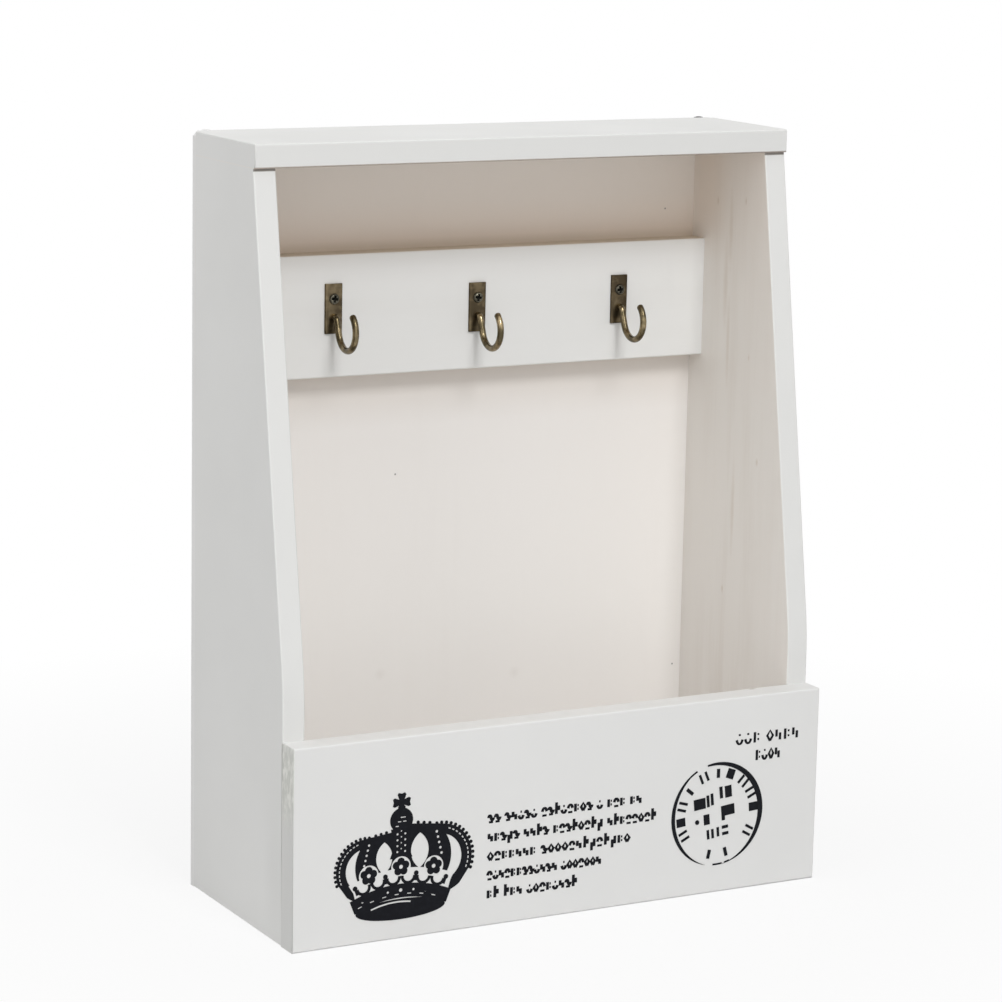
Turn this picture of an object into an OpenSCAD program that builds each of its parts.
// Wall key holder: a white painted wooden box with an open front, three wire hooks on a rail
// and a bin behind a printed front panel. All sizes are in millimetres.
// X runs to the right, Z up, and the front of the box faces -Y.

/* [Box] */
// Width over both side panels
body_w = 240; // [200:1:320]
// Height from the base to the face of the top board
body_h = 310; // [290:1:380]
// Depth from the wall to the face of the front panel
body_d = 99.5; // [88:0.5:140]
// Depth from the wall to the front edge of the top board
top_d = 60; // [50:0.5:75]
// How far the top board stands in front of the side panels
top_overhang = 1.8; // [0.5:0.1:4]
// Height at which the sloping front edge of a side panel turns vertical
foot_z = 103; // [95:1:140]
// Radius that blends the slope into the vertical stretch
foot_blend_r = 130; // [40:5:200]

/* [Boards] */
// Thickness of the side panels
side_t = 9.5; // [8:0.5:12]
// Thickness of the top board
top_t = 9.5; // [8:0.5:12]
// Thickness of the bottom board
bottom_t = 9.5; // [8:0.5:12]
// Thickness of the front panel
front_t = 10.5; // [8:0.5:14]
// Height of the front panel
front_h = 82; // [70:1:92]
// Thickness of the back panel
back_t = 3; // [2:0.5:5]
// Bevel at the upper corners of the back panel
back_corner = 2; // [0.5:0.5:4]
// Radius of the eased edges that face the room
ease_r = 0.8; // [0.3:0.1:1.5]

/* [Hook rail] */
// Thickness of the hook rail
rail_t = 10; // [8:0.5:14]
// Height of the hook rail
rail_h = 50; // [40:1:60]
// Distance from the top face of the box down to the rail
rail_drop = 50; // [40:1:70]

/* [Hooks] */
// Distance from one hook to the next
hook_pitch = 66.5; // [55:0.5:75]
// Sideways shift of the row of hooks
hook_shift = 2; // [-3:0.5:3]
// Distance from the top of the rail down to a hook plate
hook_drop = 14; // [10:0.5:16]
// How much higher each hook is fixed, from left to right
hook_raise = [2.4, 0, 0.2]; // [0:0.1:4]
// How far each hook sits beside its even place, from left to right
hook_aside = [0.4, -0.6, 0.2]; // [-1:0.1:1]
// Width of a hook plate
plate_w = 7.7; // [7:0.1:10]
// Height of a hook plate
plate_h = 20.4; // [19:0.2:24]
// Thickness of a hook plate
plate_t = 1.2; // [1.1:0.1:1.8]
// Radius along the long edges of a hook plate
plate_edge_r = 0.8; // [0.3:0.1:0.9]
// Diameter of the hook wire
wire_d = 2.7; // [2.2:0.1:3.2]
// Diameter of the wire's riveted end
rivet_d = 1.8; // [1.4:0.1:2]
// Distance from the top of a plate to the wire
wire_drop = 13.5; // [12:0.5:15]
// Bend radius where the wire leaves the plate
neck_r = 1.9; // [1.7:0.1:3]
// Length of the straight stretch below the neck
hook_run = 6.2; // [4:0.1:8]
// Slant of the straight stretch, in degrees from upright
hook_slant = 21; // [5:1:30]
// Bend radius of the hook itself
hook_r = 8; // [7:0.1:10]
// Turn of the hook from its straight stretch to its tip, in degrees
hook_turn = 206; // [180:1:220]
// How much thicker than the bends the straight stretch and the round tip are
wire_swell = 0.1; // [0.1:0.1:0.5]

/* [Screws] */
// Diameter of a screw's shank
screw_d = 2.4; // [2:0.1:2.6]
// Diameter of a screw's countersunk head
screw_head_d = 4.4; // [4:0.1:5]
// Height of a screw's countersunk head
screw_head_h = 1; // [0.8:0.05:1.1]
// Length of a screw
screw_l = 10.5; // [8:0.5:11]
// Distance from the top of a hook plate to its screw
screw_drop = 6.2; // [5:0.1:6.5]
// Width of one wing of the cross recess
cross_w = 0.7; // [0.5:0.05:0.9]
// Span of the cross recess
cross_l = 2.6; // [2:0.1:3]
// Depth of the cross recess
cross_depth = 0.8; // [0.5:0.05:1]
// Height of the raised crown on the head of a hook screw
head_rise = 0.9; // [0.4:0.1:1.2]
// Width of the raised crown at its top
head_rise_d = 3.4; // [3:0.1:3.8]

/* [Hangers] */
// Width of a hanger plate
hanger_w = 10; // [9:0.5:11]
// Height of a hanger plate
hanger_h = 34; // [32:1:40]
// Thickness of a hanger plate
hanger_t = 1.2; // [1.1:0.1:1.5]
// Distance from the side of the box to the middle of a hanger
hanger_inset = 6; // [5.5:0.1:6.5]
// How far a hanger shows above the top face
hanger_peek = 0.4; // [0.2:0.1:1.5]
// Distance from the end of a hanger to its screw
hanger_screw_inset = 4.5; // [4:0.1:5]
// Diameter of the keyhole's round entry
keyhole_d = 6.8; // [6:0.1:7]
// Width of the keyhole's slot
keyhole_slot_w = 3.6; // [3:0.1:4.2]
// Rise from the entry to the end of the slot
keyhole_rise = 6; // [5:0.5:7]
// Distance from the top of a hanger to the keyhole's entry
keyhole_drop = 20.9; // [20:0.1:22]

/* [Brads] */
// Diameter of a brad
brad_d = 1.4; // [1.2:0.1:1.6]
// Diameter of a brad's head
brad_head_d = 2; // [1.8:0.1:2.4]
// Height of a brad's head
brad_head_h = 0.8; // [0.6:0.1:1]
// Length of the brads in the box joints
brad_l = 25; // [20:1:28]
// Length of the nails through the back panel
back_nail_l = 15; // [12:1:18]
// How deep the brads are sunk and filled over
brad_sink = 1; // [0.5:0.1:1.5]

/* [Print] */
// Thickness of the printed ink
ink_t = 0.15; // [0.1:0.05:0.3]
// Width of the crown over its pearls
crown_w = 61.5; // [50:0.5:64]
// Distance from the left side of the box to the orb of the crown
crown_x = 46.6; // [45:0.1:52]
// Height of the foot of the crown above the base
crown_z = 8; // [7:0.5:14]
// Radius of the round stamp
stamp_r = 21.9; // [16:0.1:24]
// Distance from the right side of the box to the middle of the stamp
stamp_x = 48.2; // [42:0.1:50]
// Height of the middle of the stamp above the base
stamp_z = 33.6; // [28:0.1:40]

/* [Hidden] */

$fn = 96;

// Clearance round a nail or a screw in its hole
nail_fit = 0.03;
// Length that a cutting tool runs past a face
past = 1;
// Lap of the straight stretch of a hook's wire into the bends at its ends
wire_lap = 0.3;
// Width for which the crown is drawn and radius for which the stamp is drawn
crown_drawn_w = 61.5;
stamp_drawn_r = 22;

paint_white = [0.87, 0.87, 0.86];
antique_brass = [0.36, 0.31, 0.2];
zinc_steel = [0.72, 0.7, 0.62];
ink_black = [0.12, 0.12, 0.14];

// Y of the wall side of the back panel, with the middle of the whole depth at Y = 0
wall_y = (body_d + ink_t - hanger_t) / 2;
side_h = body_h - top_t;
side_top_d = top_d - top_overhang;
side_foot_d = body_d - front_t;
inner_w = body_w - 2 * side_t;
rail_face = back_t + rail_t;
rail_top = body_h - rail_drop;
rail_bottom = rail_top - rail_h;
side_mid_x = body_w / 2 - side_t / 2;
hanger_x = body_w / 2 - hanger_inset;
hanger_top = body_h + hanger_peek;

// Lean of the sloping front edge and the reach of its blend along both stretches
lean = atan((side_foot_d - side_top_d) / (side_h - foot_z));
blend_reach = foot_blend_r * tan(lean / 2);

// Places of the nails, as distances from the wall, heights, or steps across the box
top_brad_fwd = [side_top_d * 0.34, side_top_d * 0.76];
front_brad_z = [front_h * 0.18, front_h * 0.5, front_h * 0.82];
bottom_brad_x = [-inner_w * 0.32, 0, inner_w * 0.32];
bottom_brad_fwd = [side_foot_d * 0.3, side_foot_d * 0.79];
rail_brad_z = [rail_bottom + rail_h * 0.24, rail_bottom + rail_h * 0.76];
back_nail_z = [body_h * 0.13, body_h * 0.35, body_h * 0.58, rail_bottom + rail_h / 2];
back_nail_x = [-inner_w * 0.24, inner_w * 0.24];

// Frames of reference

// Draws children with X as the distance from the wall and Y as the height, turned so that
// what they extrude runs across the box
module across() {
    translate([0, wall_y, 0]) rotate([90, 0, -90]) children();
}

// Draws children with X across the box and Y as the height, so that what they extrude
// starts at the given distance from the wall and grows towards the room
module facing(fwd) {
    translate([0, wall_y - fwd, 0]) rotate([90, 0, 0]) children();
}

// Profiles

// Rectangle from the distance a to b and the height low to high, with its front corners eased
module front_eased(a, b, low, high) {
    square_from([a, low], [b - ease_r, high]);
    square_from([a, low + ease_r], [b, high - ease_r]);
    for (z = [low + ease_r, high - ease_r]) translate([b - ease_r, z]) circle(r = ease_r, $fn = 32);
}

module square_from(p, q) {
    translate(p) square([q[0] - p[0], q[1] - p[1]]);
}

// Outline of a side panel, with the corner at foot_z blended by an arc
module side_outline() {
    corner = [side_foot_d, foot_z];
    low_end = [side_foot_d, foot_z - blend_reach];
    high_end = corner + blend_reach * [-sin(lean), cos(lean)];
    difference() {
        polygon([
            [back_t, 0], [side_foot_d, 0], corner, [side_top_d, side_h], [back_t, side_h]
        ]);
        difference() {
            polygon([low_end, corner + [past, 0], high_end]);
            translate([side_foot_d - foot_blend_r, foot_z - blend_reach])
                circle(r = foot_blend_r, $fn = 360);
        }
    }
}

// Slot outline that stands upright, from one round end to the other
module upright_slot(d, rise) {
    circle(d = d);
    translate([-d / 2, 0]) square([d, rise]);
    translate([0, rise]) circle(d = d);
}

// Nails and screws

// One brad along +Z, head at the origin; grow widens it to the hole that it sits in
module brad(length, grow) {
    cylinder(d = brad_d + 2 * grow, h = length, $fn = 24);
    cylinder(d = brad_head_d + 2 * grow, h = brad_head_h, $fn = 24);
}

// Brads down through the top board into the side panels
module top_brad_set(grow) {
    for (side = [-1, 1], fwd = top_brad_fwd)
        translate([side * side_mid_x, wall_y - fwd, body_h - brad_sink])
            rotate([180, 0, 0]) brad(brad_l, grow);
}

// Brads back through the front panel into the side panels and the bottom board
module front_brad_set(grow) {
    sunk_y = wall_y - body_d + brad_sink;
    for (side = [-1, 1], z = front_brad_z)
        translate([side * side_mid_x, sunk_y, z]) rotate([-90, 0, 0]) brad(brad_l, grow);
    for (x = bottom_brad_x)
        translate([x, sunk_y, bottom_t / 2]) rotate([-90, 0, 0]) brad(brad_l, grow);
}

// Brads inwards through the side panels into the bottom board and the hook rail
module side_brad_set(grow) {
    for (side = [-1, 1]) {
        for (fwd = bottom_brad_fwd) side_brad(side, fwd, bottom_t / 2, grow);
        for (z = rail_brad_z) side_brad(side, back_t + rail_t / 2, z, grow);
    }
}

module side_brad(side, fwd, z, grow) {
    translate([side * (body_w / 2 - brad_sink), wall_y - fwd, z])
        rotate([0, -90 * side, 0]) brad(brad_l, grow);
}

// Nails forward through the back panel, heads flush with its rear
module back_nail_set(grow) {
    for (side = [-1, 1], z = back_nail_z) back_nail(side * side_mid_x, z, grow);
    for (x = back_nail_x, z = [bottom_t / 2, body_h - top_t / 2]) back_nail(x, z, grow);
}

module back_nail(x, z, grow) {
    translate([x, wall_y, z]) rotate([90, 0, 0]) brad(back_nail_l, grow);
}

// Solid outline of a countersunk screw along -Z, face of the head at the origin
module screw_form(grow) {
    point_l = screw_d;
    translate([0, 0, -screw_head_h])
        cylinder(d1 = screw_d + 2 * grow, d2 = screw_head_d + 2 * grow, h = screw_head_h);
    translate([0, 0, point_l - screw_l])
        cylinder(d = screw_d + 2 * grow, h = screw_l - point_l - screw_head_h / 2);
    translate([0, 0, -screw_l])
        cylinder(d1 = screw_d / 4 + 2 * grow, d2 = screw_d + 2 * grow, h = point_l);
}

// The screw itself, with its cross recess and a crown of the height rise on its head
module screw(rise) {
    difference() {
        union() {
            screw_form(0);
            if (rise > 0) cylinder(d1 = screw_head_d, d2 = head_rise_d, h = rise);
        }
        for (turn = [0, 90]) rotate([0, 0, turn])
            translate([-cross_l / 2, -cross_w / 2, rise - cross_depth])
                cube([cross_l, cross_w, cross_depth + past]);
    }
}

// Hooks

function hook_x(i) = hook_shift + hook_pitch * (i - 1) + hook_aside[i];
function plate_top_z(i) = rail_top - hook_drop + hook_raise[i];

// Draws children in the frame of a hook: origin on the rail at the top middle of the plate,
// Z out into the room and Y up
module at_hook(i) {
    translate([hook_x(i), 0, plate_top_z(i)]) facing(rail_face) children();
}

module at_hook_screw(i) {
    at_hook(i) translate([0, -screw_drop, plate_t]) children();
}

// Strip with rounded long edges, a countersunk hole above and a rivet hole below
module hook_plate(i) {
    color(antique_brass) at_hook(i) difference() {
        rotate([90, 0, 0]) linear_extrude(height = plate_h) plate_section();
        translate([0, -screw_drop, plate_t]) screw_form(nail_fit);
        translate([0, -wire_drop, -past]) cylinder(d = rivet_d + 2 * nail_fit, h = plate_t + 2 * past);
    }
}

// Section across a hook plate, flat on the rail and rounded at its two front corners
module plate_section() {
    intersection() {
        translate([-plate_w / 2, 0]) square([plate_w, plate_t]);
        union() {
            translate([-plate_w / 2, 0]) square([plate_w, plate_t - plate_edge_r]);
            translate([plate_edge_r - plate_w / 2, 0]) square([plate_w - 2 * plate_edge_r, plate_t]);
            for (side = [-1, 1])
                translate([side * (plate_w / 2 - plate_edge_r), plate_t - plate_edge_r])
                    circle(r = plate_edge_r, $fn = 32);
        }
    }
}

// Wire of a hook: riveted end, neck bend, straight stretch, hook bend and a round tip, all in
// the plane that stands square to the rail
module hook_wire(i) {
    neck_start = plate_t + wire_d / 4;
    color(antique_brass)
        translate([hook_x(i), 0, plate_top_z(i) - wire_drop]) {
            facing(rail_face) cylinder(d = rivet_d, h = plate_t);
            facing(rail_face + plate_t) cylinder(d = wire_d, h = neck_start - plate_t);
            across() translate([rail_face + neck_start, -neck_r]) {
                wire_bend(neck_r, hook_slant, 90 - hook_slant);
                rotate([0, 0, hook_slant]) {
                    translate([neck_r, wire_lap, 0]) rotate([90, 0, 0])
                        cylinder(d = wire_d + wire_swell, h = hook_run + 2 * wire_lap);
                    translate([neck_r + hook_r, -hook_run]) {
                        wire_bend(hook_r, 180, hook_turn);
                        rotate([0, 0, 180 + hook_turn]) translate([hook_r, 0])
                            sphere(d = wire_d + wire_swell, $fn = 48);
                    }
                }
            }
        }
}

// Stretch of wire bent to the radius r, from the angle start through the angle turn
module wire_bend(r, start, turn) {
    rotate([0, 0, start]) rotate_extrude(angle = turn, $fn = 72)
        translate([r, 0]) circle(d = wire_d, $fn = 48);
}

module hook_screw(i) {
    color(antique_brass) at_hook_screw(i) screw(head_rise);
}

// Boards

module side_panel(side) {
    color(paint_white) difference() {
        translate([side * side_mid_x, 0, 0])
            across() linear_extrude(height = side_t, center = true) side_outline();
        top_brad_set(nail_fit);
        front_brad_set(nail_fit);
        side_brad_set(nail_fit);
        back_nail_set(nail_fit);
        hanger_screw_set(nail_fit);
    }
}

module top_board() {
    color(paint_white) difference() {
        across() linear_extrude(height = body_w, center = true)
            front_eased(back_t, top_d, side_h, body_h);
        top_brad_set(nail_fit);
        back_nail_set(nail_fit);
        hanger_screw_set(nail_fit);
    }
}

module front_panel() {
    color(paint_white) difference() {
        across() linear_extrude(height = body_w, center = true)
            front_eased(side_foot_d, body_d, 0, front_h);
        front_brad_set(nail_fit);
    }
}

module bottom_board() {
    color(paint_white) difference() {
        across() linear_extrude(height = inner_w, center = true)
            square_from([back_t, 0], [side_foot_d, bottom_t]);
        front_brad_set(nail_fit);
        side_brad_set(nail_fit);
        back_nail_set(nail_fit);
    }
}

module hook_rail() {
    color(paint_white) difference() {
        across() linear_extrude(height = inner_w, center = true)
            front_eased(back_t, rail_face, rail_bottom, rail_top);
        side_brad_set(nail_fit);
        for (i = [0:2]) at_hook_screw(i) screw_form(nail_fit);
    }
}

// Thin panel over the rear edges, with bevelled upper corners and a pocket behind each keyhole
module back_panel() {
    color(paint_white) difference() {
        facing(0) linear_extrude(height = back_t) difference() {
            polygon([
                [-body_w / 2, 0], [body_w / 2, 0], [body_w / 2, body_h - back_corner],
                [body_w / 2 - back_corner, body_h], [back_corner - body_w / 2, body_h],
                [-body_w / 2, body_h - back_corner]
            ]);
            for (side = [-1, 1])
                translate([side * hanger_x, hanger_top - keyhole_drop])
                    upright_slot(keyhole_d, keyhole_rise);
        }
        back_nail_set(nail_fit);
        hanger_screw_set(nail_fit);
    }
}

// Hangers

// Stamped plate with round ends, a keyhole and two countersunk holes
module hanger(side) {
    color(zinc_steel) difference() {
        translate([side * hanger_x, 0, hanger_top]) facing(-hanger_t)
            linear_extrude(height = hanger_t) difference() {
                translate([0, hanger_w / 2 - hanger_h])
                    upright_slot(hanger_w, hanger_h - hanger_w);
                translate([0, -keyhole_drop]) circle(d = keyhole_d);
                translate([0, -keyhole_drop]) upright_slot(keyhole_slot_w, keyhole_rise);
            }
        hanger_screw_set(nail_fit);
    }
}

// Draws children at each hanger screw, Z out of the wall side of the box
module at_hanger_screws() {
    for (side = [-1, 1], drop = [hanger_screw_inset, hanger_h - hanger_screw_inset])
        translate([side * hanger_x, wall_y + hanger_t, hanger_top - drop])
            rotate([-90, 0, 0]) children();
}

module hanger_screw_set(grow) {
    at_hanger_screws() screw_form(grow);
}

module hanger_screws() {
    color(zinc_steel) at_hanger_screws() screw(0);
}

// Print on the front panel

// Draws children flat on the front panel, at the given place, as a layer of ink
module printed(x, z) {
    color(ink_black) translate([x, 0, z]) facing(body_d) linear_extrude(height = ink_t) children();
}

// Ring between two radii
module ring(r_in, r_out) {
    difference() {
        circle(r = r_out);
        circle(r = r_in);
    }
}

// Copies children on the left and mirrored on the right
module both_sides() {
    for (side = [0, 1]) mirror([side, 0]) children();
}

// Crown of a traditional form: a band, two pairs of hoops with pearls, an orb and a cross.
// Its foot is at the origin, and the right hoops are a little larger than the left ones.
module crown() {
    band_c = -38.6;
    band_r = 53.1;
    difference() {
        union() {
            mirror([1, 0]) crown_side(1.01) crown_hoops();
            crown_side(1.12) crown_hoops();
            crown_column();
        }
        // blank ground above the band, round the leaves and the garland
        intersection() {
            translate([0, band_c]) ring(band_r - 0.1, band_r + 6.4);
            polygon([
                [0, 0], [-19.4, 8], [-20.6, 13], [-23.8, 18], [0, 26], [25, 19], [22, 13.5], [20.4, 8]
            ]);
        }
        for (leaf = crown_leaves) translate(leaf) circle(r = 4.3, $fn = 48);
        crown_flecks();
    }
    translate([0, band_c]) {
        crown_garland(band_r);
        crown_band(band_r - 5.6, band_r);
    }
    for (leaf = crown_leaves) translate(leaf) crown_leaf();
    // dark inside of the band, seen from below, with a light streak
    difference() {
        ellipse([0, 4.2], 19.6, 4.2);
        translate([-1.5, -27.4]) intersection() {
            ring(34.3, 35);
            polygon([[0, 0], [-14, 40], [7, 40]]);
        }
    }
    translate([0, 47.6]) for (turn = [0:3]) rotate([0, 0, 90 * turn])
        polygon([[-0.7, 0], [0.7, 0], [1.9, 3.1], [1.4, 3.9], [0, 3.5], [-1.4, 3.9], [-1.9, 3.1]]);
}

// Middles of the three leaves above the band
crown_leaves = [[-14, 19.4], [0, 21.4], [14.4, 20]];

// Enlarges children about a point low on the middle line of the crown
module crown_side(grow) {
    translate([0, 12]) scale(grow) translate([0, -12]) children();
}

// Disc squeezed to the half widths a and b
module ellipse(centre, a, b) {
    translate(centre) polygon([for (turn = [0:6:354]) [a * cos(turn), b * sin(turn)]]);
}

// Right outer and inner hoop in one: a dome with a crescent and an almond cut out of it,
// small blanks on both hoops, and pearls along the outside
module crown_hoops() {
    dome_c = [15.3, 21.6];
    dome_r = 12.6;
    shoulder = [6, 35.4];
    difference() {
        union() {
            translate(dome_c) circle(r = dome_r);
            polygon([[0, 22], [0, shoulder[1] + 0.6], shoulder, dome_c + [1, dome_r], dome_c]);
        }
        // crescent between the outer and the inner hoop
        difference() {
            translate([15, 21.8]) circle(r = 8.8);
            translate([6, 23]) circle(r = 13.7);
        }
        // almond between the inner hoop and the column
        intersection() {
            translate([3.1, 25.6]) circle(r = 7.7);
            translate([11.5, 25.6]) circle(r = 7.7);
        }
        for (step = [0:11]) translate(dome_c) rotate([0, 0, 8.4 * step - 21.2])
            translate([dome_r - 1.4, 0]) square([0.5, 0.95], center = true);
        // straight taper of the outer hoop down to the band
        polygon([[27.2, 17.4], [21.6, 9.6], [30, 6], [32, 17.4]]);
        for (step = [0:4]) translate([15.9 - 0.5 * step, 23.6 + 2 * step]) circle(r = 0.5, $fn = 16);
    }
    for (step = [0:14]) translate(dome_c) rotate([0, 0, 8.4 * step - 21.2]) crown_pearl(dome_r);
    for (step = [0:2]) translate(shoulder + [0.5 + 2.3 * step, -0.1 - 0.35 * step])
        rotate([0, 0, 90]) crown_pearl(0);
}

// Round-ended pearl that stands on a radius
module crown_pearl(r) {
    translate([r - 0.3, -0.5]) square([0.9, 1]);
    translate([r + 0.5, 0]) circle(r = 0.62, $fn = 20);
}

// Middle column and the orb on it
module crown_column() {
    both_sides() polygon([[0, 25], [4.9, 25], [3.6, 28.5], [3.5, 32], [4.6, 37], [0, 37]]);
    translate([0, 40.4]) circle(r = 5, $fn = 64);
    translate([-1.6, 44.9]) square([3.2, 1.1]);
}

// Small blanks in three rows on the column and as short lines on the orb
module crown_flecks() {
    both_sides() for (step = [0:3]) translate([1.7, 27.6 + 2.4 * step]) circle(r = 0.45, $fn = 16);
    for (step = [0:3]) translate([0, 28.8 + 2.4 * step]) circle(r = 0.32, $fn = 16);
    for (line = [[-1.6, 39.6, 1.5], [0.6, 39.6, 1.5], [-0.4, 41.3, 2.2], [-2.6, 37.8, 1.4]])
        translate([line[0], line[1]]) square([line[2], 0.45]);
    translate([-1.2, 44.7]) square([2.4, 0.5]);
}

// Curved band with stones and short lines left blank, its arc centre at the origin
module crown_band(r_in, r_out) {
    difference() {
        intersection() {
            ring(r_in, r_out);
            polygon([
                [-22.6, 58.6], [22.6, 58.6], [22.4, 49], [19.6, 42], [18, 38], [-18, 38],
                [-19.6, 42], [-22.4, 49]
            ]);
        }
        for (step = [-3:3]) rotate([0, 0, 6.4 * step]) translate([0, r_out - 2.6])
            circle(r = step % 2 == 0 ? 0.75 : 0.5, $fn = 20);
        for (step = [-3:3]) rotate([0, 0, 6.4 * step + 2]) translate([-0.9, r_out - 4.4])
            square([1.8, 0.45]);
    }
}

// Garland of six arcs between the leaves, with a bud at every second joint, on a radius
module crown_garland(r) {
    step = 6.8;
    for (arc = [-2.5:1:2.5]) rotate([0, 0, arc * step]) translate([0, r + 2.9]) intersection() {
        ring(2.1, 3.3);
        translate([-4, -4]) square([8, 4.2]);
    }
    for (joint = [-3:2:3]) rotate([0, 0, joint * step]) {
        translate([0, r + 4]) circle(r = 1, $fn = 24);
        translate([-0.5, r + 1]) square([1, 3]);
    }
}

// Leaf with five lobes and a blank middle
module crown_leaf() {
    difference() {
        for (turn = [0:4]) rotate([0, 0, 90 + 72 * turn]) translate([2.1, 0]) circle(r = 1.6, $fn = 24);
        circle(r = 0.85, $fn = 20);
    }
}

// Worn round stamp: a ring of uneven width, short marks where its rim text would stand, and
// a few blocks and dots in the middle.
module stamp() {
    difference() {
        union() {
            crescent(stamp_drawn_r, 21.6, 2, 22);
            crescent(stamp_drawn_r, 22.9, 2.6, 184);
        }
        rotate([0, 0, 104]) square([24, 7]);
    }
    for (start = [118, 266, 281]) intersection() {
        ring(21.3, stamp_drawn_r);
        rotate([0, 0, start]) square([24, start > 270 ? 2.4 : 4.4]);
    }
    // marks along the rim, each at its angle and of one of three forms
    for (mark = [[206, 0], [186, 1], [164, 0], [141, 2], [113, 0], [90, 2], [70, 1], [46, 0],
            [25, 0], [4, 1], [-30, 0], [258, 2], [285, 2]])
        rotate([0, 0, mark[0]]) translate([15.4, 0]) stamp_mark(mark[1]);
    // middle rows, tilted a little
    rotate([0, 0, 6]) {
        for (block = [[-10.8, 3.6, 5.6, 4.6], [-4.6, 3.8, 1.3, 5], [-2.6, 4.2, 1.3, 5],
                [1.8, 6.2, 1.5, 5], [4.4, 6, 3.2, 5], [2, -1.6, 6.4, 4.4], [2, -3.4, 1.6, 2.4],
                [-6.6, -3.6, 2.8, 4.4], [-5.6, -10, 1.2, 4], [-3.4, -10, 1.2, 4], [-0.8, -9.8, 1.2, 4],
                [1.8, -9.8, 3, 1.3], [1.8, -7, 3, 1.3]])
            translate([block[0], block[1]]) square([block[2], block[3]]);
        translate([-9.8, -1.6]) circle(r = 1, $fn = 24);
    }
}

// Ring of the radius r whose inner circle is shifted away from the direction turn, so that
// it is widest there and runs out at both sides
module crescent(r, r_in, shift, turn) {
    difference() {
        circle(r = r, $fn = 120);
        rotate([0, 0, turn]) translate([-shift, 0]) circle(r = r_in, $fn = 120);
    }
}

// Mark on the rim of the stamp: two thin bars, a block or one thick bar
module stamp_mark(form) {
    if (form == 0) for (y = [-2, 0.9]) translate([0, y]) square([4.2, 1.1]);
    if (form == 1) translate([0, -1.8]) square([4.2, 3.6]);
    if (form == 2) translate([0, -0.75]) square([3.8, 1.5]);
}

module crown_print() {
    printed(crown_x - body_w / 2, crown_z) scale(crown_w / crown_drawn_w) crown();
}

module stamp_print() {
    printed(body_w / 2 - stamp_x, stamp_z) scale(stamp_r / stamp_drawn_r) stamp();
}

side_panel(-1);  // left_side_panel
side_panel(1);  // right_side_panel
top_board();
back_panel();
bottom_board();
hook_rail();
front_panel();
hook_plate(0);  // left_hook_plate
hook_plate(1);  // middle_hook_plate
hook_plate(2);  // right_hook_plate
hook_wire(0);  // left_hook_wire
hook_wire(1);  // middle_hook_wire
hook_wire(2);  // right_hook_wire
hook_screw(0);  // left_hook_screw
hook_screw(1);  // middle_hook_screw
hook_screw(2);  // right_hook_screw
hanger(-1);  // left_hanger
hanger(1);  // right_hanger
hanger_screws();
color(zinc_steel) top_brad_set(0);  // top_brads
color(zinc_steel) front_brad_set(0);  // front_brads
color(zinc_steel) side_brad_set(0);  // side_brads
color(zinc_steel) back_nail_set(0);  // back_nails
crown_print();
stamp_print();
